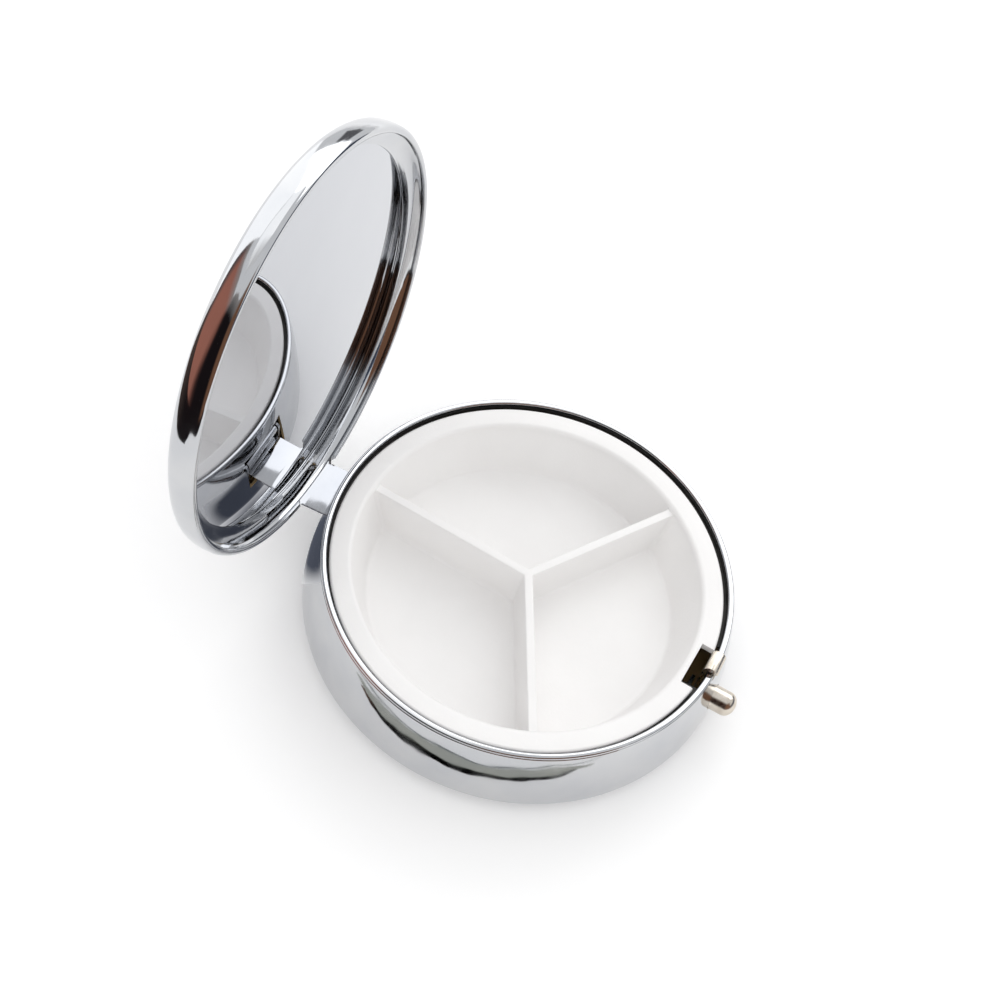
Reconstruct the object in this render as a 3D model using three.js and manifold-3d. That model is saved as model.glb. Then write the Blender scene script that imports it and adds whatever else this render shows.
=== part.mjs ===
// Travel pill compact: a round chrome box with a hinged, mirrored lid, a moulded
// three-compartment insert and a push-button catch.
//
// Units are millimetres, +Z is up. The origin is the centre of the flat underside.
// The push button points to -Y and the hinge is at +Y, with its axis along X.
// The box stands with its lid open, and each lid piece is drawn in the closed
// position inside a group that is turned open about the hinge axis.

import * as THREE from 'three';
import { mergeVertices, mergeGeometries } from 'three/addons/utils/BufferGeometryUtils.js';
import Module from 'manifold-3d';

const wasm = await Module();
wasm.setup();

// ---------------------------------------------------------------- dimensions

const SEGMENTS = 48;              // facets round each turned piece
const SHEET = 0.4;                // chrome sheet of both shells

const BELLY_R = 25;               // widest radius of the box
const BELLY_Z = 2.2;              // height of the widest place
const FLOOR_R = 20.5;             // radius of the flat underside
const EDGE_R = 23.67;             // radius of the base shell at its top edge
const EDGE_Z = 9.92;              // height of that edge
const LEAN_POWER = 1.6;           // how late the wall starts to lean inwards

const RIM_Z = 10.4;               // top of the rim ring
const RIM_OUT_R = 23.64;
const RIM_IN_R = 22.94;
const LINER_WALL = 0.26;
const LEDGE_R = 21.3;             // the tray rests on this ledge
const LEDGE_Z = 9.3;
const LEDGE_T = 0.3;

const TRAY_TURN = THREE.MathUtils.degToRad(-2);   // the loose insert sits slightly turned
const TRAY_SHIFT = -0.28;         // and it lies against one side of the rim
const TRAY_R = 22.52;
const TRAY_TOP = 10.28;
const TRAY_LIP = 0.88;            // thickness of the flange
const WELL_R = 20.1;              // compartment wall at the top
const WELL_FLOOR_R = 17.9;        // and at the floor
const WELL_FLOOR_Z = 3.9;
const TRAY_WALL = 0.8;
const DIVIDER_TOP = 9.6;
const DIVIDER_TOP_W = 1.0;
const DIVIDER_FOOT_W = 1.5;
const NOTCH_W = 5.75;             // opening in the flange for the catch
const NOTCH_Y = -20.8;

const HINGE_Y = 23.23;
const HINGE_Z = 6.3;
const OPEN_ANGLE = THREE.MathUtils.degToRad(95.7);
const PIN_R = 0.36;
const PIN_HALF = 4.15;
const BARREL_R = 0.42;            // bore of the rolled knuckle
const LEAF_T = 0.3;               // thickness of the hinge leaf
const LEAF_HALF = 3.4;
const LEAF_Y = 24.4;              // middle of the flat leaf, lid closed
const WINDOW_HALF = 4.25;         // window in the base wall for the knuckle
const WINDOW_LOW = 3.9;
const WINDOW_HIGH = 8.2;
const EAR_IN = 3.62;              // bracket ears beside the knuckle
const EAR_OUT = 3.97;

const LID_Z = 10.25;              // lid edge, lid closed
const LID_EDGE_R = 24.1;          // middle of the rolled edge
const LID_LIP_R = 23.74;          // inner side of the rolled edge, held by the catch
const LID_BELLY_R = 24.7;
const LID_BELLY_H = 1.05;         // heights of the lid count from its edge
const LID_TOP_R = 21.45;
const LID_TOP_H = 3.85;
const LID_SQUARENESS = 3;         // 2 would make the shoulder a plain ellipse
const LID_DOME = 0.45;

const MIRROR_R = 22.3;
const MIRROR_H = 1.98;
const MIRROR_T = 0.55;
const LIP_R = 21.9;               // inner edge of the bezel, over the mirror's edge
const PAD_R = 17;
const PAD_T = 0.85;

const CATCH_HALF = 1.33;          // half width of the catch strip
const CATCH_T = 0.3;
const CATCH_Y = -22.4;            // middle of the upright strip
const CATCH_FOOT_Z = 0.85;
const CATCH_PIVOT_Z = 1.1;
const CURL_R = 0.72;              // middle radius of the curled top
const CURL_Z = 10.47;             // centre height of the curl
const CURL_END = THREE.MathUtils.degToRad(18);
const SLOT_LEFT = -1.45;          // slot in the rim for the curl, wider on one side
const SLOT_RIGHT = 1.75;
const SLOT_Z = 9.55;

const BUTTON_R = 1.45;
const BUTTON_Z = 4.5;
const BUTTON_TIP = -27.5;
const BUTTON_DOME = 1.15;
const BUTTON_HOLE_R = 1.55;
const HEAD_R = 1.95;              // head inside the wall keeps the button in
const HEAD_Y = -23.95;
const HEAD_T = 0.5;
const STEM_R = 0.9;
const STEM_END = -22.68;

// ---------------------------------------------------------------- materials

function metal(color, roughness) {
  return new THREE.MeshStandardMaterial({ color, roughness, metalness: 1 });
}

const chrome = () => metal(0xc9cbcf, 0.08);
const nickel = () => metal(0xd9cfc4, 0.2);
const steel = () => metal(0xb4b6ba, 0.3);
const mirrorGlass = () => metal(0xd9dade, 0.02);
const whitePlastic = () => new THREE.MeshStandardMaterial({ color: 0xf5f2f0, roughness: 0.45, metalness: 0 });
const foam = () => new THREE.MeshStandardMaterial({ color: 0xe8e6e0, roughness: 0.9, metalness: 0 });

// ---------------------------------------------------------------- solid helpers

function toManifold(geometry) {
  const plain = geometry.clone();
  plain.deleteAttribute('normal');
  plain.deleteAttribute('uv');
  const merged = mergeVertices(plain, 1e-4);
  const index = merged.index.array;
  const triVerts = [];
  for (let i = 0; i < index.length; i += 3) {
    const [a, b, c] = [index[i], index[i + 1], index[i + 2]];
    if (a !== b && b !== c && c !== a) {
      triVerts.push(a, b, c);
    }
  }
  const mesh = new wasm.Mesh({
    numProp: 3,
    vertProperties: new Float32Array(merged.attributes.position.array),
    triVerts: new Uint32Array(triVerts),
  });
  return new wasm.Manifold(mesh);
}

function toGeometry(manifold) {
  const mesh = manifold.getMesh();
  const geometry = new THREE.BufferGeometry();
  geometry.setAttribute('position', new THREE.BufferAttribute(mesh.vertProperties, 3));
  geometry.setIndex(new THREE.BufferAttribute(mesh.triVerts, 1));
  geometry.computeVertexNormals();
  return geometry;
}

// A profile of [radius, height] points turned about Z. It starts and ends on the
// axis, or closes on itself, and runs anticlockwise with the radius to the right.
function turned(profile, segments = SEGMENTS) {
  const points = profile.map(([r, z]) => new THREE.Vector2(r, z));
  return new THREE.LatheGeometry(points, segments).rotateX(Math.PI / 2);
}

function closed(profile) {
  return [...profile, profile[0]];
}

function box(xLow, xHigh, yLow, yHigh, zLow, zHigh) {
  const geometry = new THREE.BoxGeometry(xHigh - xLow, yHigh - yLow, zHigh - zLow);
  return geometry.translate((xLow + xHigh) / 2, (yLow + yHigh) / 2, (zLow + zHigh) / 2);
}

// An outline in the YZ plane, extruded along X from xLow to xHigh.
function sidePlate(outline, xLow, xHigh) {
  const shape = new THREE.Shape(outline.map(([y, z]) => new THREE.Vector2(y, z)));
  const geometry = new THREE.ExtrudeGeometry(shape, { depth: xHigh - xLow, bevelEnabled: false });
  const turn = new THREE.Matrix4().makeBasis(
    new THREE.Vector3(0, 1, 0),
    new THREE.Vector3(0, 0, 1),
    new THREE.Vector3(1, 0, 0),
  );
  return geometry.applyMatrix4(turn).translate(xLow, 0, 0);
}

// A bent strip: the two sides of a middle line in the YZ plane, ready for sidePlate.
function stripOutline(path, thickness) {
  const left = [];
  const right = [];
  path.forEach(([y, z], i) => {
    const [yBefore, zBefore] = path[Math.max(i - 1, 0)];
    const [yAfter, zAfter] = path[Math.min(i + 1, path.length - 1)];
    const along = new THREE.Vector2(yAfter - yBefore, zAfter - zBefore).normalize();
    left.push([y - along.y * thickness / 2, z + along.x * thickness / 2]);
    right.unshift([y + along.y * thickness / 2, z - along.x * thickness / 2]);
  });
  return [...left, ...right];
}

function arcPath(cy, cz, radius, from, to, steps) {
  const points = [];
  for (let i = 0; i <= steps; i += 1) {
    const angle = from + (to - from) * i / steps;
    points.push([cy + radius * Math.cos(angle), cz + radius * Math.sin(angle)]);
  }
  return points;
}

function cylinderY(radius, yLow, yHigh, z, segments) {
  const geometry = new THREE.CylinderGeometry(radius, radius, yHigh - yLow, segments);
  return geometry.translate(0, (yLow + yHigh) / 2, z);
}

function part(name, geometry, material) {
  const mesh = new THREE.Mesh(geometry, material);
  mesh.name = name;
  return mesh;
}

// ---------------------------------------------------------------- base shell

function wallRadius(z) {
  const rise = (z - BELLY_Z) / (EDGE_Z - BELLY_Z);
  return BELLY_R - (BELLY_R - EDGE_R) * rise ** LEAN_POWER;
}

// The corner between the flat underside and the belly, and the leaning wall above it.
function baseOutline(inset) {
  const corner = arcPath(0, 0, 1, -Math.PI / 2, 0, 6).map(([c, s]) => [
    FLOOR_R + (BELLY_R - FLOOR_R - inset) * c,
    BELLY_Z + (BELLY_Z - inset) * s,
  ]);
  const wall = [];
  const steps = 5;
  for (let i = 1; i <= steps; i += 1) {
    const z = BELLY_Z + (EDGE_Z - BELLY_Z) * i / steps;
    wall.push([wallRadius(z) - inset, z]);
  }
  return [...corner, ...wall];
}

function baseShell() {
  const outside = baseOutline(0);
  const inside = baseOutline(SHEET).reverse();
  const shell = toManifold(turned([[0, 0], ...outside, ...inside, [0, SHEET]]));
  const window = box(-WINDOW_HALF, WINDOW_HALF, 20, 28, WINDOW_LOW, WINDOW_HIGH);
  const slot = box(SLOT_LEFT, SLOT_RIGHT, -26, -20, SLOT_Z, RIM_Z + 1);
  const hole = cylinderY(BUTTON_HOLE_R, -28, -20, BUTTON_Z, 24);
  return toGeometry([window, slot, hole].reduce((solid, cut) => solid.subtract(toManifold(cut)), shell));
}

// ---------------------------------------------------------------- rim ring inside the shell

function baseLiner() {
  const wallOut = RIM_IN_R + LINER_WALL;
  const ring = toManifold(turned(closed([
    [LEDGE_R, LEDGE_Z - LEDGE_T],
    [wallOut, LEDGE_Z - LEDGE_T],
    [wallOut, EDGE_Z + 0.08],
    [RIM_OUT_R - 0.08, EDGE_Z + 0.08],
    [RIM_OUT_R, RIM_Z - 0.18],
    [RIM_OUT_R - 0.2, RIM_Z],
    [RIM_IN_R + 0.2, RIM_Z],
    [RIM_IN_R, RIM_Z - 0.18],
    [RIM_IN_R, LEDGE_Z],
    [LEDGE_R, LEDGE_Z],
  ])));
  const slot = toManifold(box(SLOT_LEFT, SLOT_RIGHT, -26, -20, SLOT_Z, RIM_Z + 1));
  const ledgeGap = toManifold(box(-3.1, 3.1, -22.72, -19, LEDGE_Z - 1, RIM_Z + 1));
  return toGeometry(ring.subtract(slot).subtract(ledgeGap));
}

// ---------------------------------------------------------------- moulded insert

function trayOuter() {
  const underFloor = WELL_FLOOR_Z - TRAY_WALL;
  const wallTop = TRAY_TOP - TRAY_LIP;
  return [
    [0, underFloor],
    [WELL_FLOOR_R - 0.2, underFloor],
    [WELL_FLOOR_R + TRAY_WALL, underFloor + 1],
    [WELL_R + TRAY_WALL - 0.1, wallTop],
    [TRAY_R - 0.15, wallTop],
    [TRAY_R, wallTop + 0.2],
    [TRAY_R, TRAY_TOP - 0.3],
    [TRAY_R - 0.25, TRAY_TOP],
  ];
}

function pillTray() {
  const well = [
    [WELL_R + 0.75, TRAY_TOP],
    [WELL_R + 0.2, TRAY_TOP - 0.2],
    [WELL_R, TRAY_TOP - 0.75],
    [WELL_FLOOR_R + 0.3, WELL_FLOOR_Z + 1],
    [WELL_FLOOR_R - 0.1, WELL_FLOOR_Z + 0.3],
    [WELL_FLOOR_R - 0.9, WELL_FLOOR_Z],
  ];
  const bowl = toManifold(turned([...trayOuter(), ...well, [0, WELL_FLOOR_Z]]));
  const filled = toManifold(turned([...trayOuter(), [0, TRAY_TOP]]));
  const foot = WELL_FLOOR_Z - 0.4;
  const section = [
    [-DIVIDER_FOOT_W / 2, foot],
    [DIVIDER_FOOT_W / 2, foot],
    [DIVIDER_TOP_W / 2, DIVIDER_TOP - 0.12],
    [DIVIDER_TOP_W / 2 - 0.12, DIVIDER_TOP],
    [-DIVIDER_TOP_W / 2 + 0.12, DIVIDER_TOP],
    [-DIVIDER_TOP_W / 2, DIVIDER_TOP - 0.12],
  ];
  const arms = [Math.PI / 2, Math.PI * 7 / 6, Math.PI * 11 / 6].map((angle) =>
    toManifold(sidePlate(section, 0, WELL_R + 0.5).rotateZ(angle)));
  const star = arms.reduce((sum, arm) => sum.add(arm)).intersect(filled);
  const notch = toManifold(box(-NOTCH_W / 2, NOTCH_W / 2, -26, NOTCH_Y, TRAY_TOP - 2, TRAY_TOP + 1));
  return toGeometry(bowl.add(star).subtract(notch));
}

// ---------------------------------------------------------------- hinge bracket and pin

function hingeBracket() {
  const ear = [
    [17.5, 0.55],
    [20.4, 0.55],
    [22.2, 0.95],
    [23.3, 2.6],
    [23.9, 4.6],
    ...arcPath(HINGE_Y, HINGE_Z, 0.75, 0, Math.PI, 8),
    [21.4, 3.0],
    [19.8, 0.95],
    [17.5, 0.95],
  ];
  const plate = toManifold(box(-EAR_OUT, EAR_OUT, 17.5, 19.9, 0.55, 0.95));
  const left = toManifold(sidePlate(ear, -EAR_OUT, -EAR_IN));
  const right = toManifold(sidePlate(ear, EAR_IN, EAR_OUT));
  const bore = new THREE.CylinderGeometry(PIN_R + 0.04, PIN_R + 0.04, 12, 20).rotateZ(Math.PI / 2);
  bore.translate(0, HINGE_Y, HINGE_Z);
  return toGeometry(plate.add(left).add(right).subtract(toManifold(bore)));
}

function hingePin() {
  const pin = new THREE.CylinderGeometry(PIN_R, PIN_R, 2 * PIN_HALF, 20).rotateZ(Math.PI / 2);
  return pin.translate(0, HINGE_Y, HINGE_Z);
}

// ---------------------------------------------------------------- catch and button

// The upright strip, with its top curled outwards over the rim.
function latchLeaf() {
  const curlY = CATCH_Y - CURL_R;
  const path = [
    [CATCH_Y, CATCH_FOOT_Z],
    ...arcPath(curlY, CURL_Z, CURL_R, 0, Math.PI - CURL_END, 9),
  ];
  return sidePlate(stripOutline(path, CATCH_T), -CATCH_HALF, CATCH_HALF);
}

function latchBracket() {
  const path = [
    [-16.8, 0.75],
    [-21.0, 0.75],
    [-21.5, 0.95],
    [-21.7, 1.45],
    [-21.7, 3.2],
  ];
  return sidePlate(stripOutline(path, 0.4), -2.2, 2.2);
}

// The rivet joins the strip's foot to the bracket, and it ends just short of both.
function latchRivet() {
  return cylinderY(0.35, -22.13, -21.95, CATCH_PIVOT_Z + 0.45, 12);
}

function pushButton() {
  const dome = arcPath(0, 0, 1, 0, Math.PI / 2, 6).map(([c, s]) => [
    BUTTON_R * c,
    -BUTTON_TIP - BUTTON_DOME + BUTTON_DOME * s,
  ]);
  const profile = [
    [0, -STEM_END],
    [STEM_R, -STEM_END],
    [STEM_R, -HEAD_Y - HEAD_T],
    [HEAD_R, -HEAD_Y - HEAD_T],
    [HEAD_R, -HEAD_Y],
    [BUTTON_R, -HEAD_Y],
    ...dome.slice(0, -1),
    [0, -BUTTON_TIP],
  ];
  return turned(profile, 24).rotateX(Math.PI / 2).translate(0, 0, BUTTON_Z);
}

// ---------------------------------------------------------------- lid

function lidTopHeight(radius, thickness) {
  return LID_TOP_H - thickness + LID_DOME * (1 - (radius / LID_TOP_R) ** 2);
}

// The rounded shoulder and the slightly domed top, from the belly to the axis.
function lidOutline(inset) {
  const power = 2 / LID_SQUARENESS;
  const shoulder = arcPath(0, 0, 1, 0, Math.PI / 2, 8).map(([c, s]) => [
    LID_TOP_R + (LID_BELLY_R - LID_TOP_R - inset) * Math.max(c, 0) ** power,
    LID_BELLY_H + (LID_TOP_H - LID_BELLY_H - inset) * s ** power,
  ]);
  const dome = [16, 10, 0].map((r) => [r, lidTopHeight(r, inset)]);
  return [...shoulder, ...dome].map(([r, h]) => [r, LID_Z + h]);
}

// The flat leaf runs down from the lid's wall and rolls into the knuckle round the pin.
function hingeLeaf() {
  const rollR = BARREL_R + LEAF_T / 2;
  const path = [
    [LEAF_Y, LID_Z + 0.85],
    [LEAF_Y, HINGE_Z + 1.0],
    [LEAF_Y - 0.12, HINGE_Z + 0.15],
    [LEAF_Y - 0.5, HINGE_Z - 0.42],
    ...arcPath(HINGE_Y, HINGE_Z, rollR, -Math.PI / 2, -Math.PI * 2, 14),
  ];
  return sidePlate(stripOutline(path, LEAF_T), -LEAF_HALF, LEAF_HALF);
}

function lidShell() {
  const edge = [
    [LID_LIP_R, 0.3],
    [LID_LIP_R + 0.04, 0.1],
    [LID_EDGE_R, 0],
    [24.4, 0.12],
    [24.6, 0.45],
  ].map(([r, h]) => [r, LID_Z + h]);
  const inside = lidOutline(SHEET).reverse();
  const innerLip = [
    [24.2, 0.58],
    [LID_LIP_R + 0.1, 0.42],
  ].map(([r, h]) => [r, LID_Z + h]);
  const profile = [...edge, ...lidOutline(0), ...inside, ...innerLip];
  const shell = toManifold(turned(closed(profile)));
  return toGeometry(shell.add(toManifold(hingeLeaf())));
}

// A sheet ring that slopes in from the lid's edge to the mirror and holds it.
function lidBezel() {
  const profile = [
    [24.06, 0.7],
    [23.9, 1.02],
    [23.55, 1.38],
    [23.0, 1.68],
    [22.4, 1.82],
    [LIP_R, 1.86],
    [LIP_R, MIRROR_H - 0.04],
    [22.4, MIRROR_H - 0.04],
    [23.05, 1.88],
    [23.65, 1.56],
    [24.05, 1.16],
    [24.24, 0.76],
  ].map(([r, h]) => [r, LID_Z + h]).reverse();
  return turned(closed(profile));
}

function disc(radius, low, high) {
  const bevel = 0.06;
  return turned([
    [0, low],
    [radius - bevel, low],
    [radius, low + bevel],
    [radius, high - bevel],
    [radius - bevel, high],
    [0, high],
  ]);
}

// ---------------------------------------------------------------- assembly

const compact = new THREE.Group();
compact.add(part('base_shell', baseShell(), chrome()));
compact.add(part('base_liner', baseLiner(), chrome()));
compact.add(part('hinge_bracket', hingeBracket(), steel()));
compact.add(part('hinge_pin', hingePin(), steel()));
compact.add(part('latch_bracket', latchBracket(), steel()));
compact.add(part('latch_rivet', latchRivet(), steel()));
compact.add(part('latch_leaf', latchLeaf(), nickel()));
compact.add(part('push_button', pushButton(), nickel()));

const tray = part('pill_tray', pillTray(), whitePlastic());
tray.rotation.z = TRAY_TURN;
tray.position.x = TRAY_SHIFT;
compact.add(tray);

const mirrorBack = LID_Z + MIRROR_H + MIRROR_T;
const lid = new THREE.Group();
lid.add(part('lid_shell', lidShell(), chrome()));
lid.add(part('lid_bezel', lidBezel(), chrome()));
lid.add(part('mirror_glass', disc(MIRROR_R, LID_Z + MIRROR_H, mirrorBack), mirrorGlass()));
lid.add(part('mirror_pad', disc(PAD_R, mirrorBack + 0.03, mirrorBack + 0.03 + PAD_T), foam()));
lid.position.set(0, -HINGE_Y, -HINGE_Z);

const hinge = new THREE.Group();
hinge.position.set(0, HINGE_Y, HINGE_Z);
hinge.rotation.x = -OPEN_ANGLE;
hinge.add(lid);
compact.add(hinge);

export default compact;
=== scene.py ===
"""Looks of the travel pill compact: a round chrome box with a hinged mirrored lid, a white
three-compartment insert, a push button and a sprung catch.

Lengths below are in millimetres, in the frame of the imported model: +Z is up, the origin is the
centre of the underside, the button points to -Y and the hinge is at +Y. Meshes are scaled to
metres when they are made. Lid pieces are drawn closed and then turned open about the hinge.
"""

import math

import bpy
from mathutils import Matrix, Quaternion, Vector


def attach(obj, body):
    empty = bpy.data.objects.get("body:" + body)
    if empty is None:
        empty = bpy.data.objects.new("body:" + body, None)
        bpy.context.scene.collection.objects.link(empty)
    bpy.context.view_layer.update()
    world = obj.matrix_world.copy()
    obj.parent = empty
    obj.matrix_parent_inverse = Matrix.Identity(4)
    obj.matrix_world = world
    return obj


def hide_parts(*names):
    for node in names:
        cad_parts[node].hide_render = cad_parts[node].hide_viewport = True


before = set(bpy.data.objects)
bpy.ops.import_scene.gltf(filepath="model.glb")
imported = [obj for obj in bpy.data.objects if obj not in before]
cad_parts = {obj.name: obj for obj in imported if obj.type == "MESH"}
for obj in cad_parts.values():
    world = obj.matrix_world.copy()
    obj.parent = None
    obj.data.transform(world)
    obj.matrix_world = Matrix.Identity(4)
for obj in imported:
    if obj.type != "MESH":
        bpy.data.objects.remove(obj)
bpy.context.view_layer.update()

# ---------------------------------------------------------------- dimensions

MM = 0.001
TURN_STEPS = 240                  # steps round the chrome pieces
SMALL_STEPS = 64                  # steps round the small pieces
SHEET = 0.4                       # thickness of the stamped chrome sheet
RIPPLE = 0.006                    # depth of the sheet's unevenness
PAST = 1.0                        # how far a cutting tool runs past the edge that it opens

BELLY_R = 25.0
BELLY_Z = 2.2
FLOOR_R = 20.5
EDGE_R = 23.67
EDGE_Z = 9.92
LEAN_POWER = 1.6                  # how the wall curves in from the belly to the edge
WALL_NEAR = 20.0                  # the wall's cutting tools run from this distance off the axis
WALL_FAR = 28.0

RIM_Z = 10.4
RIM_OUT_R = 23.64
RIM_IN_R = 22.94
RIM_BRIGHT_DEPTH = 0.72                 # depth of the rim's inner side left bright above the painted shade
LINER_WALL = 0.26
LEDGE_R = 21.3
LEDGE_Z = 9.3
LEDGE_T = 0.3
LEDGE_GAP_HALF = 3.1              # gap in the ledge behind the catch
LEDGE_GAP_NEAR = -19.0
LEDGE_GAP_FAR = -22.72

TRAY_TURN = math.radians(-2)
TRAY_SHIFT = -0.28
TRAY_R = 22.52
TRAY_TOP = 10.28
TRAY_LIP = 0.88
WELL_R = 20.1
WELL_FLOOR_R = 17.9
WELL_FLOOR_Z = 3.9
TRAY_WALL = 0.8
DIVIDER_TOP = 9.6
DIVIDER_TOP_W = 1.0
DIVIDER_FOOT_W = 1.5
COMPARTMENT_TURNS = (90, 210, 330)
WELL_FILLET = 0.4                 # round between the floor and the walls
WELL_FLARE = 0.16                 # round at the top of the dividers
WELL_CORNER = 0.45
WELL_INNER_CORNER = 0.35
NOTCH_W = 5.75
NOTCH_Y = -20.8
NOTCH_DEPTH = 2.0                 # deeper than the flange, which it goes right through
FRONT_FAR = -26.0                 # the tools that open the front reach this far

HINGE_Y = 23.23
HINGE_Z = 6.3
OPEN_ANGLE = math.radians(95.7)
PIN_R = 0.36
PIN_HALF = 4.15
BARREL_R = 0.42
LEAF_T = 0.3
LEAF_HALF = 3.4
LEAF_Y = 24.4
RELIEF_R = 0.35                   # round notches in the lid's edge beside the leaf
RELIEF_X = 3.75
RELIEF_H = 0.05
BEAD_GAP_HALF = 3.6               # gap in the lid's rolled edge behind the leaf
BEAD_GAP_TOP = 0.52
WINDOW_HALF = 4.25
WINDOW_LOW = 3.9
WINDOW_HIGH = 8.2

LID_Z = 10.25
LID_EDGE_R = 24.1
LID_LIP_R = 23.74
LID_BELLY_R = 24.7
LID_BELLY_H = 1.05
LID_TOP_R = 21.45
LID_TOP_H = 3.85
LID_SQUARENESS = 3                # 2 would make the shoulder a plain ellipse
LID_DOME = 0.45

MIRROR_R = 22.3
MIRROR_H = 1.98
MIRROR_T = 0.55
LIP_R = 21.9

CATCH_HALF = 1.33
CATCH_T = 0.3
CATCH_Y = -22.4
CATCH_FOOT_Z = 0.85
CURL_R = 0.72
CURL_Z = 10.47
CURL_END = math.radians(18)
CORE_SHIFT = 0.06                 # the curl is filled by a core set back from its round
CORE_INSET = 0.06
CORE_OVERLAP = 0.02
SLOT_LEFT = -1.45
SLOT_RIGHT = 1.75
SLOT_Z = 9.55
SLOT_NEAR = -20.0

BUTTON_R = 1.45
BUTTON_Z = 4.5
BUTTON_TIP = 27.5
BUTTON_DOME = 1.15
BUTTON_HOLE_R = 1.55
BUTTON_WALL_R = 24.5              # the wall's radius at the button
DIMPLE_DEPTH = 0.1
DIMPLE_WIDTH = 1.8
HEAD_R = 1.95
HEAD_Y = 23.95
HEAD_T = 0.5
STEM_R = 0.9
STEM_END = 22.68
EDGE_BREAK = 0.04                 # softened edges of the hidden CAD solids

CAMERA_AT = Vector((-112.33, -19.95, 181.61)) * MM
CAMERA_AIM = Vector((6.207, 7.134, 10.4)) * MM
CAMERA_ROLL = math.radians(17.233)
CAMERA_LENS = 65.83
CAMERA_SENSOR = 36.0

# ---------------------------------------------------------------- camera


def make_camera():
    camera = bpy.data.objects.new("camera", bpy.data.cameras.new("camera"))
    bpy.context.scene.collection.objects.link(camera)
    camera.data.lens = CAMERA_LENS
    camera.data.sensor_width = CAMERA_SENSOR
    camera.data.clip_start = 0.005
    look = (CAMERA_AIM - CAMERA_AT).to_track_quat("-Z", "Y")
    camera.matrix_world = (
        Matrix.Translation(CAMERA_AT)
        @ (look @ Quaternion((0, 0, 1), CAMERA_ROLL)).to_matrix().to_4x4()
    )
    bpy.context.scene.camera = camera


make_camera()

# ---------------------------------------------------------------- outlines


def arc(centre, radii, start, end, steps):
    """Points on an elliptical arc, with the angles in degrees."""
    points = []
    for i in range(steps + 1):
        angle = math.radians(start + (end - start) * i / steps)
        points.append((centre[0] + radii[0] * math.cos(angle), centre[1] + radii[1] * math.sin(angle)))
    return points


def rounded(corners, steps=6, closed=True):
    """An outline whose corners (a, b, radius) are turned into arcs; a radius of 0 stays sharp."""
    points = []
    count = len(corners)
    for i, (a, b, radius) in enumerate(corners):
        ends = not closed and i in (0, count - 1)
        if radius == 0 or ends:
            points.append((a, b))
            continue
        corner = Vector((a, b))
        before = (Vector(corners[i - 1][:2]) - corner).normalized()
        after = (Vector(corners[(i + 1) % count][:2]) - corner).normalized()
        half = math.acos(max(-1.0, min(1.0, before.dot(after)))) / 2
        centre = corner + (before + after).normalized() * radius / math.sin(half)
        first = corner + before * radius / math.tan(half) - centre
        last = corner + after * radius / math.tan(half) - centre
        sweep = first.angle_signed(last)
        for k in range(steps + 1):
            turned = first.copy()
            turned.rotate(Matrix.Rotation(-sweep * k / steps, 2))
            points.append(tuple(centre + turned))
    return points


def smooth(points, steps=6):
    """A Catmull-Rom curve through the points."""
    result = []
    last = len(points) - 1
    for i in range(last):
        p0, p1, p2, p3 = (Vector(points[max(0, min(last, i + k))]) for k in (-1, 0, 1, 2))
        for k in range(steps):
            t = k / steps
            q = p1 * 2 + (p2 - p0) * t
            q += (p0 * 2 - p1 * 5 + p2 * 4 - p3) * t**2
            q += (p1 * 3 - p0 - p2 * 3 + p3) * t**3
            result.append(tuple(q / 2))
    return [*result, tuple(points[-1])]


# ---------------------------------------------------------------- meshes


def make_piece(name, vertices, faces, crease=30.0):
    """A mesh object from points in millimetres, shaded smooth up to the crease angle."""
    mesh = bpy.data.meshes.new(name)
    mesh.from_pydata([tuple(Vector(v) * MM) for v in vertices], [], faces)
    piece = bpy.data.objects.new(name, mesh)
    bpy.context.scene.collection.objects.link(piece)
    finish_mesh(piece, crease)
    return piece


def finish_mesh(piece, crease=30.0):
    mesh = piece.data
    mesh.validate()
    mesh.polygons.foreach_set("use_smooth", [True] * len(mesh.polygons))
    mesh.set_sharp_from_angle(angle=math.radians(crease))
    mesh.update()


def turned(name, outline, steps=TURN_STEPS, closed=True, ripple=None, crease=30.0):
    """An outline of (radius, height) points turned about Z. It runs anticlockwise, and where it
    starts and ends on the axis, closed is False. ripple(angle, height) moves points outwards."""
    vertices = []
    rings = []
    for radius, height in outline:
        if radius < 1e-6:
            rings.append([len(vertices)] * steps)
            vertices.append((0, 0, height))
            continue
        rings.append(list(range(len(vertices), len(vertices) + steps)))
        for i in range(steps):
            angle = 2 * math.pi * i / steps
            r = radius + (ripple(angle, height) if ripple else 0)
            vertices.append((r * math.cos(angle), r * math.sin(angle), height))
    pairs = list(zip(rings, rings[1:]))
    if closed:
        pairs.append((rings[-1], rings[0]))
    faces = []
    for low, high in pairs:
        for i in range(steps):
            j = (i + 1) % steps
            face = [low[i], low[j], high[j], high[i]]
            face = [v for k, v in enumerate(face) if v != face[k - 1]]
            if len(face) > 2:
                faces.append(face)
    return make_piece(name, vertices, faces, crease)


def strip(name, path, half_width, thickness, edge=0.07, crease=30.0):
    """A bent strip along a path of (y, z) points, with rounded edges, centred on X."""
    section = rounded(
        [(-half_width, -thickness / 2, edge), (half_width, -thickness / 2, edge),
         (half_width, thickness / 2, edge), (-half_width, thickness / 2, edge)], steps=4)
    vertices = []
    for i, (y, z) in enumerate(path):
        before = Vector(path[max(i - 1, 0)])
        after = Vector(path[min(i + 1, len(path) - 1)])
        along = (after - before).normalized()
        for x, side in section:
            vertices.append((x, y - along.y * side, z + along.x * side))
    count = len(section)
    faces = []
    for i in range(len(path) - 1):
        for k in range(count):
            j = (k + 1) % count
            faces.append([i * count + k, i * count + j, (i + 1) * count + j, (i + 1) * count + k])
    faces.append(list(reversed(range(count))))
    faces.append(list(range((len(path) - 1) * count, len(path) * count)))
    return make_piece(name, vertices, faces, crease)


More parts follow.
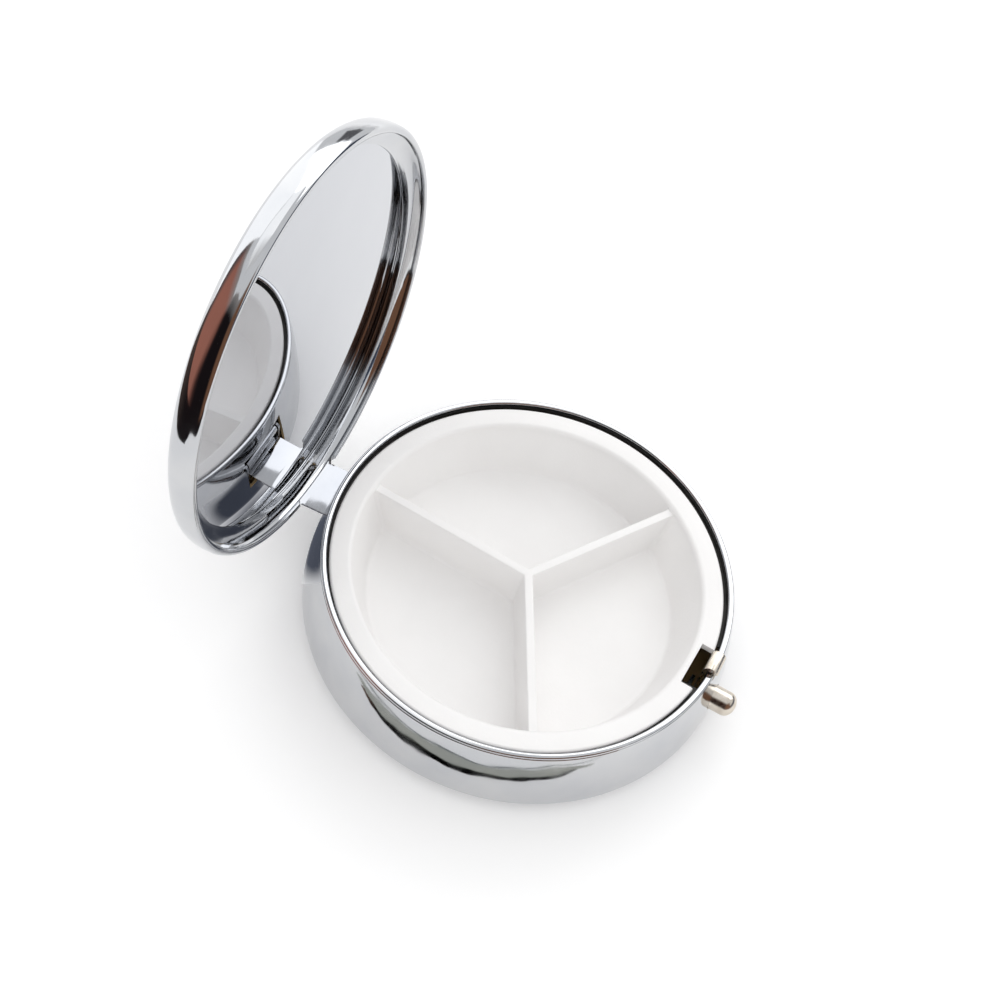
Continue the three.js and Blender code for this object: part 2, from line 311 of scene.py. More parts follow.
def block(low, high):
    """A box used as a cutting tool."""
    corners = [(x, y, z) for x in (low[0], high[0]) for y in (low[1], high[1]) for z in (low[2], high[2])]
    faces = [[0, 1, 3, 2], [4, 6, 7, 5], [0, 4, 5, 1], [2, 3, 7, 6], [0, 2, 6, 4], [1, 5, 7, 3]]
    return make_piece("cutter", corners, faces)


def rod(radius, low, high, steps=SMALL_STEPS):
    """An upright cylinder used as a cutting tool."""
    return turned("cutter", [(0, low), (radius, low), (radius, high), (0, high)], steps, closed=False)


def combine(piece, tools, operation="DIFFERENCE", crease=30.0):
    """Cuts the tools from the piece, or joins them to it, and removes the tools."""
    for tool in tools:
        modifier = piece.modifiers.new("boolean", "BOOLEAN")
        modifier.object = tool
        modifier.operation = operation
        modifier.solver = "EXACT"
    graph = bpy.context.evaluated_depsgraph_get()
    mesh = bpy.data.meshes.new_from_object(piece.evaluated_get(graph))
    piece.modifiers.clear()
    piece.data = mesh
    for tool in tools:
        bpy.data.objects.remove(tool)
    finish_mesh(piece, crease)


def place(piece, matrix):
    """Moves the mesh itself, so that the object stays at the origin."""
    piece.data.transform(matrix)
    piece.data.update()


def about_hinge(angle):
    hinge = Matrix.Translation(Vector((0, HINGE_Y, HINGE_Z)) * MM)
    return hinge @ Matrix.Rotation(angle, 4, "X") @ hinge.inverted()


def finish_piece(piece, body, nodes, material):
    piece.data.materials.clear()
    piece.data.materials.append(material)
    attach(piece, body)
    if nodes:
        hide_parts(*nodes)


# ---------------------------------------------------------------- materials


class Shader:
    """A node material around one Principled shader, with short names for what it uses."""

    def __init__(self, name, **values):
        self.material = bpy.data.materials.new(name)
        self.material.use_nodes = True
        self.nodes = self.material.node_tree.nodes
        self.links = self.material.node_tree.links
        self.principled = self.nodes["Principled BSDF"]
        for socket, value in values.items():
            self.principled.inputs[socket.replace("_", " ")].default_value = value
        self.place = self.nodes.new("ShaderNodeTexCoord").outputs["Object"]

    def stretched(self, scale):
        mapping = self.nodes.new("ShaderNodeMapping")
        mapping.inputs["Scale"].default_value = scale
        self.links.new(self.place, mapping.inputs["Vector"])
        return mapping.outputs["Vector"]

    def noise(self, size_mm, detail=2.0, stretch=None):
        node = self.nodes.new("ShaderNodeTexNoise")
        node.inputs["Scale"].default_value = 1 / (size_mm * MM)
        node.inputs["Detail"].default_value = detail
        self.links.new(self.stretched(stretch) if stretch else self.place, node.inputs["Vector"])
        return node.outputs["Fac"]

    def ramp(self, value, stops):
        """stops are (position, colour or number); the result drives a socket."""
        node = self.nodes.new("ShaderNodeValToRGB")
        elements = node.color_ramp.elements
        while len(elements) < len(stops):
            elements.new(0.5)
        for element, (position, colour) in zip(elements, stops):
            element.position = position
            grey = isinstance(colour, (int, float))
            element.color = (colour, colour, colour, 1) if grey else (*colour, 1)
        self.links.new(value, node.inputs["Fac"])
        return node.outputs["Color"]

    def drive(self, socket, output):
        self.links.new(output, self.principled.inputs[socket])

    def bump(self, height, depth_mm, under=None):
        node = self.nodes.new("ShaderNodeBump")
        node.inputs["Distance"].default_value = depth_mm * MM
        self.links.new(height, node.inputs["Height"])
        if under:
            self.links.new(under, node.inputs["Normal"])
        self.links.new(node.outputs["Normal"], self.principled.inputs["Normal"])
        return node.outputs["Normal"]


def chrome_material():
    """Bright plating: faint clouds in its tone and gloss, orange peel and a fine grain."""
    shader = Shader("chrome", Metallic=1.0)
    cloud = shader.noise(6, detail=4)
    tones = [(0.35, (0.545, 0.555, 0.575)), (0.65, (0.6, 0.605, 0.615))]
    shader.drive("Base Color", shader.ramp(cloud, tones))
    shader.drive("Roughness", shader.ramp(shader.noise(3, detail=6), [(0.35, 0.05), (0.7, 0.11)]))
    peel = shader.bump(shader.noise(1.6, detail=1), 0.004)
    shader.bump(shader.noise(0.35, detail=2), 0.0006, peel)
    return shader.material


def nickel_material():
    """Warm satin nickel, with fine brush marks across the strip."""
    shader = Shader("nickel", Metallic=1.0)
    cloud = shader.noise(1.2, detail=3)
    shader.drive("Base Color", shader.ramp(cloud, [(0.3, (0.6, 0.54, 0.46)), (0.7, (0.74, 0.68, 0.6))]))
    brushed = shader.noise(0.5, detail=4, stretch=(0.12, 1.0, 1.0))
    shader.drive("Roughness", shader.ramp(brushed, [(0.3, 0.16), (0.7, 0.3)]))
    shader.bump(brushed, 0.004)
    return shader.material


def steel_material():
    """Dull zinc-plated steel of the hidden brackets, with a fine spangle."""
    shader = Shader("steel", Metallic=1.0)
    spangle = shader.noise(0.6, detail=5)
    shader.drive("Base Color", shader.ramp(spangle, [(0.3, (0.42, 0.43, 0.45)), (0.7, (0.58, 0.59, 0.6))]))
    shader.drive("Roughness", shader.ramp(spangle, [(0.3, 0.24), (0.7, 0.42)]))
    shader.bump(spangle, 0.01)
    return shader.material


def mirror_material():
    """Silvered glass, with a breath of haze."""
    shader = Shader("mirror", Metallic=1.0)
    haze = shader.noise(14, detail=3)
    shader.drive("Base Color", shader.ramp(haze, [(0.3, (0.575, 0.585, 0.612)), (0.7, (0.6, 0.61, 0.635))]))
    shader.drive("Roughness", shader.ramp(haze, [(0.3, 0.0), (0.7, 0.02)]))
    return shader.material


def plastic_material():
    """White moulded polystyrene with the fine grain of its mould."""
    shader = Shader("white_plastic", IOR=1.5)
    tone = shader.noise(9, detail=3)
    shader.drive("Base Color", shader.ramp(tone, [(0.3, (0.9, 0.888, 0.88)), (0.7, (0.93, 0.92, 0.912))]))
    grain = shader.noise(0.3, detail=3)
    shader.drive("Roughness", shader.ramp(grain, [(0.3, 0.38), (0.7, 0.55)]))
    shader.bump(grain, 0.02)
    return shader.material


def brass_material():
    """Bare, tarnished brass of the unplated inside."""
    shader = Shader("brass", Metallic=0.0)
    stain_and_shade_mottle = shader.noise(2.5, detail=4)
    shader.drive("Base Color", shader.ramp(stain_and_shade_mottle, [(0.3, (0.66, 0.47, 0.23)), (0.7, (0.78, 0.57, 0.3))]))
    shader.drive("Roughness", shader.ramp(stain_and_shade_mottle, [(0.3, 0.45), (0.7, 0.7)]))
    shader.bump(stain_and_shade_mottle, 0.01)
    return shader.material


def painted_gap_shade_material():
    """Nearly black painted shade in the joint between the rim and the insert."""
    shader = Shader("painted_gap_shade", Roughness=0.6)
    stain_and_shade_mottle = shader.noise(1.5, detail=4)
    tones = [(0.3, (0.012, 0.011, 0.01)), (0.7, (0.035, 0.031, 0.027))]
    shader.drive("Base Color", shader.ramp(stain_and_shade_mottle, tones))
    shader.bump(stain_and_shade_mottle, 0.01)
    return shader.material


def foam_material():
    """Fine-celled backing tape."""
    shader = Shader("foam", Roughness=0.9)
    cells = shader.noise(0.25, detail=3)
    shader.drive("Base Color", shader.ramp(cells, [(0.3, (0.62, 0.6, 0.55)), (0.7, (0.8, 0.79, 0.75))]))
    shader.bump(cells, 0.05)
    return shader.material


chrome = chrome_material()
nickel = nickel_material()
steel = steel_material()
mirror = mirror_material()
plastic = plastic_material()
foam = foam_material()
brass = brass_material()
painted_gap_shade = painted_gap_shade_material()

# ---------------------------------------------------------------- base


def wall_radius(z):
    rise = max(0.0, (z - BELLY_Z) / (EDGE_Z - BELLY_Z))
    return BELLY_R - (BELLY_R - EDGE_R) * rise**LEAN_POWER


def base_outline(inset):
    """The corner from the flat underside to the belly, and the leaning wall above it."""
    corner = arc((FLOOR_R, BELLY_Z), (BELLY_R - FLOOR_R - inset, BELLY_Z - inset), -90, 0, 20)
    steps = 24
    levels = [BELLY_Z + (EDGE_Z - BELLY_Z) * i / steps for i in range(1, steps + 1)]
    return [*corner, *((wall_radius(z) - inset, z) for z in levels)]


def sheet_ripple(angle, height):
    """The faint unevenness of drawn sheet, which makes reflections waver."""
    return RIPPLE * (
        math.sin(7 * angle + 1.3 * height)
        + 0.8 * math.sin(13 * angle - 0.9 * height + 1.0)
        + 0.6 * math.sin(23 * angle + 2.1 * height + 2.0)
    )


def wall_ripple(angle, height):
    """The sheet's unevenness, and the shallow dimple pressed round the button's hole."""
    across = BUTTON_WALL_R * math.remainder(angle + math.pi / 2, 2 * math.pi)
    away = math.hypot(across, height - BUTTON_Z)
    return sheet_ripple(angle, height) - DIMPLE_DEPTH * math.exp(-((away / DIMPLE_WIDTH) ** 2) / 2)


def dull_faces(piece, material, chosen):
    """Gives a second material to faces chosen by centre and normal, in millimetres about Z."""
    piece.data.materials.append(material)
    for face in piece.data.polygons:
        x, y, z = face.center / MM
        radius = math.hypot(x, y)
        outward = (face.normal.x * x + face.normal.y * y) / max(radius, 0.001)
        if chosen(radius, z, outward, face.normal.z):
            face.material_index = 1


def rim_slot():
    """Cuts the slot for the catch through the top of the rim."""
    return block((SLOT_LEFT, FRONT_FAR, SLOT_Z), (SLOT_RIGHT, SLOT_NEAR, RIM_Z + PAST))


def unplated(radius, z, outward, up):
    """The wall's inner side and the top of the floor."""
    return outward < -0.1 or (up > 0.5 and z < EDGE_Z - 1)


def in_painted_gap_shade(radius, z, outward, up):
    """The rim's inner side below its bright part, and the ledge, which take the painted shade."""
    return z < RIM_Z - RIM_BRIGHT_DEPTH and radius < RIM_IN_R + 0.03


def make_base_shell():
    outside = base_outline(0)
    inside = list(reversed(base_outline(SHEET)))
    lip = [(EDGE_R - 0.06, EDGE_Z + 0.05), (EDGE_R - SHEET + 0.06, EDGE_Z + 0.05)]
    shell = turned(
        "base_shell_fine", [(0, 0), *outside, *lip, *inside, (0, SHEET)], closed=False, ripple=wall_ripple)
    window = block((-WINDOW_HALF, WALL_NEAR, WINDOW_LOW), (WINDOW_HALF, WALL_FAR, WINDOW_HIGH))
    hole = rod(BUTTON_HOLE_R, WALL_NEAR, WALL_FAR)
    place(hole, Matrix.Translation((0, 0, BUTTON_Z * MM)) @ Matrix.Rotation(math.pi / 2, 4, "X"))
    combine(shell, [window, rim_slot(), hole])
    finish_piece(shell, "base", ["base_shell"], chrome)
    dull_faces(shell, brass, unplated)


def make_base_liner():
    wall_out = RIM_IN_R + LINER_WALL
    ring = turned("rim_ring_fine", rounded([
        (LEDGE_R, LEDGE_Z - LEDGE_T, 0.1),
        (wall_out, LEDGE_Z - LEDGE_T, 0.1),
        (wall_out, EDGE_Z + 0.08, 0),
        (RIM_OUT_R, EDGE_Z + 0.08, 0.08),
        (RIM_OUT_R, RIM_Z, 0.24),
        (RIM_IN_R, RIM_Z, 0.24),
        (RIM_IN_R, RIM_Z - RIM_BRIGHT_DEPTH, 0),
        (RIM_IN_R, LEDGE_Z, 0.05),
        (LEDGE_R, LEDGE_Z, 0.08),
    ], steps=8))
    ledge_gap = block(
        (-LEDGE_GAP_HALF, LEDGE_GAP_FAR, LEDGE_Z - PAST), (LEDGE_GAP_HALF, LEDGE_GAP_NEAR, RIM_Z + PAST))
    combine(ring, [rim_slot(), ledge_gap])
    finish_piece(ring, "base", ["base_liner"], chrome)
    # the rim's inner side below its bright part and the ledge are painted nearly black as shade in the gap
    dull_faces(ring, painted_gap_shade, in_painted_gap_shade)


# ---------------------------------------------------------------- insert


def compartment_outline(half_width, radius, corner, inner_corner):
    """A 120 degree sector between two dividers, along +X and at 120 degrees, with round corners."""
    third = math.radians(120)
    bisector = math.radians(60)
    reach = math.sqrt((radius - corner) ** 2 - (half_width + corner) ** 2)
    lean = math.degrees(math.atan2(half_width + corner, reach))
    first = arc((reach, half_width + corner), (corner, corner), -90, lean, 8)
    rim = arc((0, 0), (radius, radius), lean, 120 - lean, 40)[1:-1]
    second = []
    for x, y in reversed(first):
        angle = third - math.atan2(y, x)
        length = math.hypot(x, y)
        second.append((length * math.cos(angle), length * math.sin(angle)))
    out = (half_width + inner_corner) / math.sin(bisector)
    centre = (out * math.cos(bisector), out * math.sin(bisector))
    inner = arc(centre, (inner_corner, inner_corner), 210, 270, 6)
    return [*first, *rim, *second, *inner]


def compartment_cutter(turn):
    """The space of one compartment: a round-cornered sector that narrows to a filleted floor."""
    fillet = WELL_FILLET
    flare = WELL_FLARE
    side_low = WELL_FLOOR_Z + fillet
    side_top = DIVIDER_TOP - flare
    levels = []                   # (height, how much the outline shrinks, how much the dividers thin)
    for k in range(9):
        angle = math.radians(90 * k / 8)
        levels.append((WELL_FLOOR_Z + fillet * (1 - math.cos(angle)), fillet * (1 - math.sin(angle)), 0))
    for k in range(1, 4):
        levels.append((side_low + (side_top - side_low) * k / 3, 0, 0))
    for k in range(1, 6):
        angle = math.radians(90 * k / 5)
        levels.append((side_top + flare * math.sin(angle), 0, flare * (1 - math.cos(angle))))
    levels.append((DIVIDER_TOP + 0.2, 0, flare))
    vertices = []
    for z, shrink, spread in levels:
        rise = min(1.0, (z - WELL_FLOOR_Z) / (DIVIDER_TOP - WELL_FLOOR_Z))
        half = (DIVIDER_FOOT_W + (DIVIDER_TOP_W - DIVIDER_FOOT_W) * rise) / 2
        wall = WELL_FLOOR_R + (WELL_R - WELL_FLOOR_R) * rise
        outline = compartment_outline(
            half + shrink - spread, wall - shrink, WELL_CORNER, WELL_INNER_CORNER)
        vertices.extend((x, y, z) for x, y in outline)
    count = len(vertices) // len(levels)
    faces = []
    for i in range(len(levels) - 1):
        for k in range(count):
            j = (k + 1) % count
            faces.append([i * count + k, i * count + j, (i + 1) * count + j, (i + 1) * count + k])
    faces.append(list(reversed(range(count))))
    faces.append(list(range((len(levels) - 1) * count, len(levels) * count)))
    cutter = make_piece("cutter", vertices, faces)
    place(cutter, Matrix.Rotation(turn, 4, "Z"))
    return cutter


def make_tray():
    under = WELL_FLOOR_Z - TRAY_WALL
    flange_low = TRAY_TOP - TRAY_LIP
    outer = rounded([
        (0, under, 0),
        (WELL_FLOOR_R + TRAY_WALL - 0.2, under, 0.9),
        (WELL_R + TRAY_WALL - 0.1, flange_low, 0.2),
        (TRAY_R, flange_low, 0.25),
        (TRAY_R, TRAY_TOP, 0.3),
        (WELL_R, TRAY_TOP, 0.62),
        (WELL_R - 0.25, DIVIDER_TOP - 0.02, 0),
        (0, DIVIDER_TOP, 0),
    ], steps=10, closed=False)
    tray = turned("tray_fine", outer, closed=False)
    cutters = [compartment_cutter(math.radians(turn)) for turn in COMPARTMENT_TURNS]
    notch = block(
        (-NOTCH_W / 2, FRONT_FAR, TRAY_TOP - NOTCH_DEPTH), (NOTCH_W / 2, NOTCH_Y, TRAY_TOP + PAST))
    combine(tray, [*cutters, notch], crease=24.0)
    place(tray, Matrix.Translation((TRAY_SHIFT * MM, 0, 0)) @ Matrix.Rotation(TRAY_TURN, 4, "Z"))
    finish_piece(tray, "base", ["pill_tray"], plastic)


# ---------------------------------------------------------------- catch and button


def make_catch():
    curl = arc((CATCH_Y - CURL_R, CURL_Z), (CURL_R, CURL_R), 0, 180 - math.degrees(CURL_END), 24)
    leaf = strip("catch_fine", [(CATCH_Y, CATCH_FOOT_Z), (CATCH_Y, 5.0), (CATCH_Y, 9.0), *curl],
                 CATCH_HALF, CATCH_T)
    core_half = CATCH_HALF - CORE_INSET
    core = rod(CURL_R - CATCH_T / 2 + CORE_OVERLAP, -core_half, core_half)
    turn = Matrix.Rotation(math.pi / 2, 4, "Y")
    place(core, Matrix.Translation(Vector((0, CATCH_Y - CURL_R + CORE_SHIFT, CURL_Z)) * MM) @ turn)
    combine(leaf, [core], "UNION")
    finish_piece(leaf, "catch", ["latch_leaf"], nickel)


def make_button():
    neck = BUTTON_TIP - BUTTON_DOME
    outline = [
        *rounded([
            (0, STEM_END, 0),
            (STEM_R, STEM_END, 0.15),
            (STEM_R, HEAD_Y - HEAD_T, 0),
            (HEAD_R, HEAD_Y - HEAD_T, 0.1),
            (HEAD_R, HEAD_Y, 0.1),
            (BUTTON_R, HEAD_Y, 0),
        ], steps=4, closed=False),
        *arc((0, neck), (BUTTON_R, BUTTON_DOME), 0, 90, 24)[:-1],
        (0, BUTTON_TIP),
    ]
    button = turned("button_fine", outline, SMALL_STEPS, closed=False)
    place(button, Matrix.Translation((0, 0, BUTTON_Z * MM)) @ Matrix.Rotation(math.pi / 2, 4, "X"))
    finish_piece(button, "button", ["push_button"], nickel)


# ---------------------------------------------------------------- lid and hinge


def lid_outline(inset):
    """The rounded shoulder and the slightly domed top, from the belly to the axis."""
    power = 2 / LID_SQUARENESS
    shoulder = [
        (LID_TOP_R + (LID_BELLY_R - LID_TOP_R - inset) * max(c, 0) ** power,
         LID_BELLY_H + (LID_TOP_H - LID_BELLY_H - inset) * s**power)
        for c, s in arc((0, 0), (1, 1), 0, 90, 32)
    ]
    steps = 10
    dome = []
    for i in range(1, steps + 1):
        r = LID_TOP_R * (1 - i / steps)
        dome.append((r, LID_TOP_H - inset + LID_DOME * (1 - (r / LID_TOP_R) ** 2)))
    return [*shoulder, *dome]


def raised(outline):
    return [(r, LID_Z + h) for r, h in outline]


def make_lid_shell():
    edge = smooth([
        (LID_LIP_R + 0.1, 0.42),
        (LID_LIP_R, 0.3),
        (LID_LIP_R + 0.04, 0.1),
        (LID_EDGE_R, 0),
        (24.4, 0.12),
        (24.6, 0.45),
        (LID_BELLY_R, LID_BELLY_H),
    ], steps=5)[:-1]
    inside = list(reversed(lid_outline(SHEET)))[1:]
    outline = [*edge, *lid_outline(0), (0, lid_outline(SHEET)[-1][1]), *inside, (24.2, 0.58)]
    shell = turned("lid_shell_fine", raised(outline), ripple=sheet_ripple)
    roll_r = BARREL_R + LEAF_T / 2
    path = [
        *smooth([
            (LEAF_Y, LID_Z + 0.85),
            (LEAF_Y, LID_Z - 1.0),
            (LEAF_Y, HINGE_Z + 1.0),
            (LEAF_Y - 0.12, HINGE_Z + 0.15),
            (LEAF_Y - 0.5, HINGE_Z - 0.42),
        ], steps=5),
        *arc((HINGE_Y, HINGE_Z), (roll_r, roll_r), -90, -360, 32),
    ]
    leaf = strip("leaf", path, LEAF_HALF, LEAF_T)
    reliefs = []
    for side in (-1, 1):
        relief = rod(RELIEF_R, 22.5, 25.5)
        turn = Matrix.Rotation(-math.pi / 2, 4, "X")
        place(relief, Matrix.Translation(Vector((side * RELIEF_X, 0, LID_Z + RELIEF_H)) * MM) @ turn)
        reliefs.append(relief)
    bead_gap = block(
        (-BEAD_GAP_HALF, 22, LID_Z - 0.2), (BEAD_GAP_HALF, LEAF_Y - LEAF_T / 2, LID_Z + BEAD_GAP_TOP))
    combine(shell, [bead_gap, *reliefs])
    combine(shell, [leaf], "UNION")
    place(shell, about_hinge(-OPEN_ANGLE))
    finish_piece(shell, "lid", ["lid_shell"], chrome)


def make_bezel():
    """A sheet ring that slopes in from the lid's edge to the mirror and holds it."""
    front = smooth([
        (24.06, 0.7),
        (23.9, 1.02),
        (23.55, 1.38),
        (23.0, 1.68),
        (22.4, 1.82),
        (LIP_R, 1.86),
    ], steps=6)
    back = smooth([
        (22.4, MIRROR_H - 0.04),
        (23.05, 1.88),
        (23.65, 1.56),
        (24.05, 1.16),
        (24.24, 0.76),
    ], steps=4)
    outline = [*front, (LIP_R, MIRROR_H - 0.04), *back]
    bezel = turned("bezel_fine", raised(list(reversed(outline))), ripple=sheet_ripple)
    place(bezel, about_hinge(-OPEN_ANGLE))
    finish_piece(bezel, "lid", ["lid_bezel"], chrome)


def make_mirror():
    outline = rounded([
        (0, MIRROR_H, 0),
        (MIRROR_R, MIRROR_H, 0.12),
        (MIRROR_R, MIRROR_H + MIRROR_T, 0.12),
        (0, MIRROR_H + MIRROR_T, 0),
    ], closed=False)
    glass = turned("mirror_fine", raised(outline), closed=False)
    place(glass, about_hinge(-OPEN_ANGLE))
    finish_piece(glass, "lid", ["mirror_glass"], mirror)


def make_pin():
    outline = rounded([
        (0, -PIN_HALF, 0),
        (PIN_R, -PIN_HALF, 0.12),
        (PIN_R, PIN_HALF, 0.12),
        (0, PIN_HALF, 0),
    ], closed=False)
    pin = turned("hinge_pin_fine", outline, SMALL_STEPS, closed=False)
    axis = Matrix.Translation(Vector((0, HINGE_Y, HINGE_Z)) * MM)
    place(pin, axis @ Matrix.Rotation(math.pi / 2, 4, "Y"))
    finish_piece(pin, "base", ["hinge_pin"], steel)


def dress_cad_nodes():
    """The hidden brackets, the rivet and the mirror's pad keep their CAD solids."""
    for name, slot, material in (
        ("hinge_bracket", "steel", steel),
        ("latch_bracket", "steel", steel),
        ("latch_rivet", "steel", steel),
        ("mirror_pad", "foam", foam),
    ):
        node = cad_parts[name]
        node.data.materials.clear()
        node.data.materials.append(material)
        bevel = node.modifiers.new("edges", "BEVEL")
        bevel.width = EDGE_BREAK * MM
        bevel.segments = 2
        bevel.limit_method = "ANGLE"
        bevel.angle_limit = math.radians(40)


make_base_shell()
make_base_liner()
make_tray()
make_catch()
make_button()
make_lid_shell()
make_bezel()
make_mirror()
make_pin()
dress_cad_nodes()

# ---------------------------------------------------------------- floor, light and reflections

ROOM_R = 700.0                    # distance of the standing cards
FLOOR_HALF = 3000.0
FLOOR_GAP = 0.02                  # the floor lies this far below the underside


def emission_material(name, strength=1.0):
    """Glows with the colour stored at each point of the mesh."""
    material = bpy.data.materials.new(name)
    material.use_nodes = True
    nodes = material.node_tree.nodes
    nodes.clear()
    colour = nodes.new("ShaderNodeAttribute")
    colour.attribute_name = "glow"
    emission = nodes.new("ShaderNodeEmission")
    emission.inputs["Strength"].default_value = strength
    output = nodes.new("ShaderNodeOutputMaterial")
    material.node_tree.links.new(colour.outputs["Color"], emission.inputs["Color"])
    material.node_tree.links.new(emission.outputs["Emission"], output.inputs["Surface"])
    return material


def reflection_card(name, across, up, point, colour):
    """A card that only shows in polished surfaces. It is a grid of across by up cells, and
    point(u, v) and colour(u, v) say where each corner lies and how it glows, for u, v in 0..1."""
    grid = [(i / across, j / up) for j in range(up + 1) for i in range(across + 1)]
    faces = []
    for j in range(up):
        for i in range(across):
            k = j * (across + 1) + i
            faces.append([k, k + 1, k + across + 2, k + across + 1])
    card = make_piece(name, [point(u, v) for u, v in grid], faces)
    glow = card.data.color_attributes.new("glow", "FLOAT_COLOR", "POINT")
    for slot, (u, v) in zip(glow.data, grid):
        slot.color = (*colour(u, v), 1)
    card.data.materials.append(emission_material(name))
    card.visible_camera = False
    card.visible_diffuse = False
    card.visible_transmission = False
    card.visible_volume_scatter = False
    card.visible_shadow = False


def mix(a, b, t):
    t = max(0.0, min(1.0, t))
    return tuple(x + (y - x) * t for x, y in zip(a, b))


def standing(azimuth, elevation):
    """A point of the room, with the azimuth in degrees from -Y towards +X."""
    az, el = math.radians(azimuth), math.radians(elevation)
    level = ROOM_R * math.cos(el)
    return (level * math.sin(az), -level * math.cos(az), ROOM_R * math.sin(el))


DARK = (0.012, 0.009, 0.010)
BROWN = (0.42, 0.17, 0.125)
UMBER = (0.2, 0.1, 0.06)
GREY_GREEN = (0.45, 0.46, 0.42)


ROOM_AZIMUTHS = (-176, -15)
ROOM_FOOT = -3
FAR_FLOOR_AZIMUTHS = (-178, -38)


def steps_between(value, stops):
    """Straight lines through the stops (position, number), level beyond the ends."""
    for (left, low), (right, high) in zip(stops, stops[1:]):
        if value < right:
            return low + (high - low) * max(0.0, value - left) / (right - left)
    return stops[-1][1]


def between(ends, t):
    return ends[0] + (ends[1] - ends[0]) * t


def share(value, start, end):
    """How far the value is on its way from start to end; mix() holds the result to 0..1."""
    return (value - start) / (end - start)


def room_side(u, v):
    """The dark side of the room, a little lower towards the hinge."""
    azimuth = between(ROOM_AZIMUTHS, u)
    top = steps_between(azimuth, [(-140, 54), (-125, 52), (-112, 58)])
    return standing(azimuth, between((ROOM_FOOT, top), v))


def room_side_colour(u, v):
    """Brown by the hinge, dark in the middle, umber towards the button, with a paler top row."""
    azimuth = between(ROOM_AZIMUTHS, u)
    tone = mix((0.12, 0.09, 0.09), BROWN, share(azimuth, -172, -162))
    tone = mix(tone, DARK, share(azimuth, -128, -119))
    tone = mix(tone, UMBER, share(azimuth, -84, -66))
    return mix(tone, (0.35, 0.33, 0.32), (v - 0.9) * 10)


def wall_card(name, across, up, azimuths, elevations, colour):
    """A card that stands in the room between two azimuths and two elevations, in degrees."""
    reflection_card(
        name, across, up,
        lambda u, v: standing(between(azimuths, u), between(elevations, v)),
        colour)


def make_room():
    reflection_card("card_room", 60, 6, room_side, room_side_colour)
    wall_card("card_ceiling", 60, 6, (100, 230), (62, 89),
              lambda u, v: mix((1.5, 1.51, 1.52), (0.7, 0.7, 0.7), 3 * u - 2))
    wall_card("card_post", 8, 8, (104, 116), (8, 23), lambda u, v: (0.14, 0.14, 0.15))
    wall_card("card_low_wall", 20, 4, (-14, 70), (ROOM_FOOT, 22),
              lambda u, v: mix((0.04, 0.05, 0.075), (0.08, 0.1, 0.15), v))
    wall_card("card_window", 20, 8, (130, 184), (0, 61), lambda u, v: (1.6, 1.61, 1.62))
    wall_card("card_high_window", 20, 4, (45, 130), (25, 62), lambda u, v: (2.4, 2.42, 2.45))


def floor_arc(radius, bow, start, end, half_width):
    """An arc on the floor with tapered ends; its radius grows by bow from its middle to its ends."""

    def point(u, v):
        angle = math.radians(between((start, end), u))
        side = half_width * math.sin(math.pi * u) ** 0.6 * (2 * v - 1)
        waver = 0.15 * math.sin(41 * u) * math.sin(23 * u + 1)
        r = radius + bow * (2 * u - 1) ** 2 + side + waver
        return (r * math.cos(angle), r * math.sin(angle), 0.02 + 0.01 * half_width)

    return point


def floor_point(radius, azimuth):
    az = math.radians(azimuth)
    return (radius * math.sin(az), -radius * math.cos(az), 0.3)


def far_floor(u, v):
    """The floor from beyond the object out to the walls of the room."""
    azimuth = between(FAR_FLOOR_AZIMUTHS, u)
    start = steps_between(azimuth, [(-178, 102), (-120, 130), (-104, 215)])
    return floor_point(between((start, ROOM_R), v), azimuth)


def lid_shadow_patch(u, v):
    """A small patch of the floor below the open lid, with a painted shadow of the lid that shows only in
    reflections.
    """
    return floor_point(between((23, 36), v), between((-183, -156), u))


# painted shadow: pale at the edges and dark in the middle, where the lid shades the floor
def lid_shadow_patch_colour(u, v):
    middle = math.sin(math.pi * u) * math.sin(math.pi * v)
    return mix((0.85, 0.85, 0.86), (0.09, 0.1, 0.13), 2.0 * middle)


def make_floor_cards():
    reflection_card("card_streak", 90, 2, floor_arc(32.0, 2.2, 150, 226, 1.35),
                    lambda u, v: mix((0.16, 0.08, 0.05), (0.0, 0.0, 0.0), 8 * u))
    reflection_card("card_band", 90, 2, floor_arc(33.6, 1.8, 146, 232, 1.5), lambda u, v: GREY_GREEN)
    reflection_card("card_line", 90, 2, floor_arc(35.4, 1.8, 140, 236, 0.28),
                    lambda u, v: (0.2, 0.22, 0.22))
    reflection_card("card_far_floor", 70, 4, far_floor, lambda u, v: mix((0.1, 0.07, 0.06), DARK, 3 * u))
    # a painted shadow of the lid on the floor, seen only in the polished surfaces
    reflection_card("card_lid_shadow", 20, 8, lid_shadow_patch, lid_shadow_patch_colour)


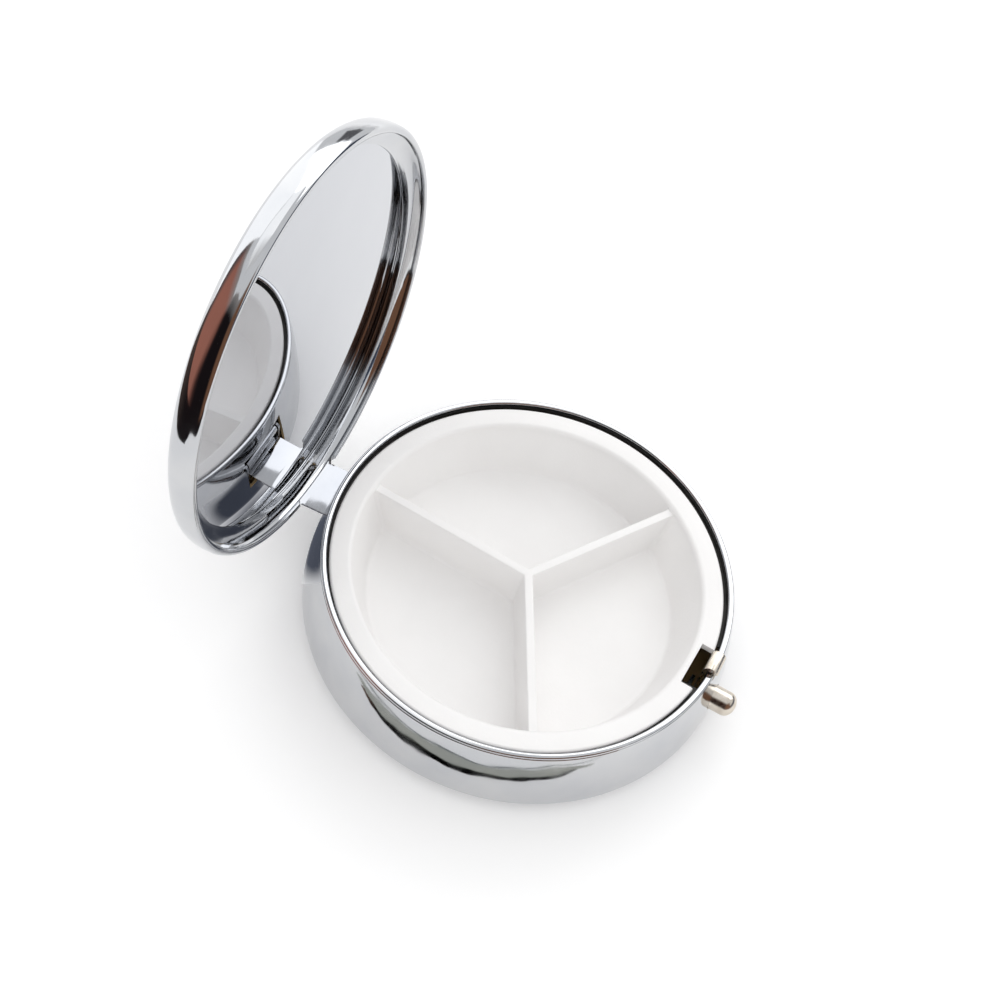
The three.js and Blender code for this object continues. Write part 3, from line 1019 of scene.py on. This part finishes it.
def paper_material():
    """Matt white paper, which glows a little so that the floor stays nearly white."""
    material = bpy.data.materials.new("floor_white")
    material.use_nodes = True
    inputs = material.node_tree.nodes["Principled BSDF"].inputs
    inputs["Base Color"].default_value = (0.975, 0.975, 0.978, 1)
    inputs["Roughness"].default_value = 0.9
    inputs["Specular IOR Level"].default_value = 0.0
    inputs["Emission Color"].default_value = (1, 1, 1, 1)
    inputs["Emission Strength"].default_value = 0.13
    return material


def make_floor():
    half = FLOOR_HALF
    corners = [(-half, -half), (half, -half), (half, half), (-half, half)]
    floor = make_piece("floor", [(x, y, -FLOOR_GAP) for x, y in corners], [[0, 1, 2, 3]])
    floor.data.materials.append(paper_material())


def make_world():
    """White all round for the light and the backdrop, and slightly greyer in reflections."""
    world = bpy.data.worlds.new("studio")
    bpy.context.scene.world = world
    world.use_nodes = True
    nodes = world.node_tree.nodes
    links = world.node_tree.links
    background = nodes["Background"]
    background.inputs["Color"].default_value = (1.0, 1.0, 1.0, 1)
    background.inputs["Strength"].default_value = 0.95
    seen = nodes.new("ShaderNodeBackground")
    seen.inputs["Color"].default_value = (0.82, 0.83, 0.845, 1)
    backdrop = nodes.new("ShaderNodeBackground")
    backdrop.inputs["Color"].default_value = (1.0, 1.0, 1.0, 1)
    backdrop.inputs["Strength"].default_value = 1.05
    rays = nodes.new("ShaderNodeLightPath").outputs
    chosen = background.outputs["Background"]
    for ray, shader in (("Is Glossy Ray", seen), ("Is Camera Ray", backdrop)):
        blend = nodes.new("ShaderNodeMixShader")
        links.new(rays[ray], blend.inputs["Fac"])
        links.new(chosen, blend.inputs[1])
        links.new(shader.outputs["Background"], blend.inputs[2])
        chosen = blend.outputs["Shader"]
    links.new(chosen, nodes["World Output"].inputs["Surface"])


def make_light(name, place_mm, aim_mm, size_mm, watts):
    light = bpy.data.lights.new(name, "AREA")
    light.shape = "DISK"
    light.size = size_mm * MM
    light.energy = watts
    lamp = bpy.data.objects.new(name, light)
    bpy.context.scene.collection.objects.link(lamp)
    start = Vector(place_mm) * MM
    lamp.location = start
    lamp.rotation_euler = (Vector(aim_mm) * MM - start).to_track_quat("-Z", "Y").to_euler()
    lamp.visible_glossy = False


make_floor()
make_world()
make_room()
make_floor_cards()
make_light("window_light", (520, 60, 330), (0, 0, 10), 420, 0.6)
bpy.context.scene.view_settings.view_transform = "Standard"
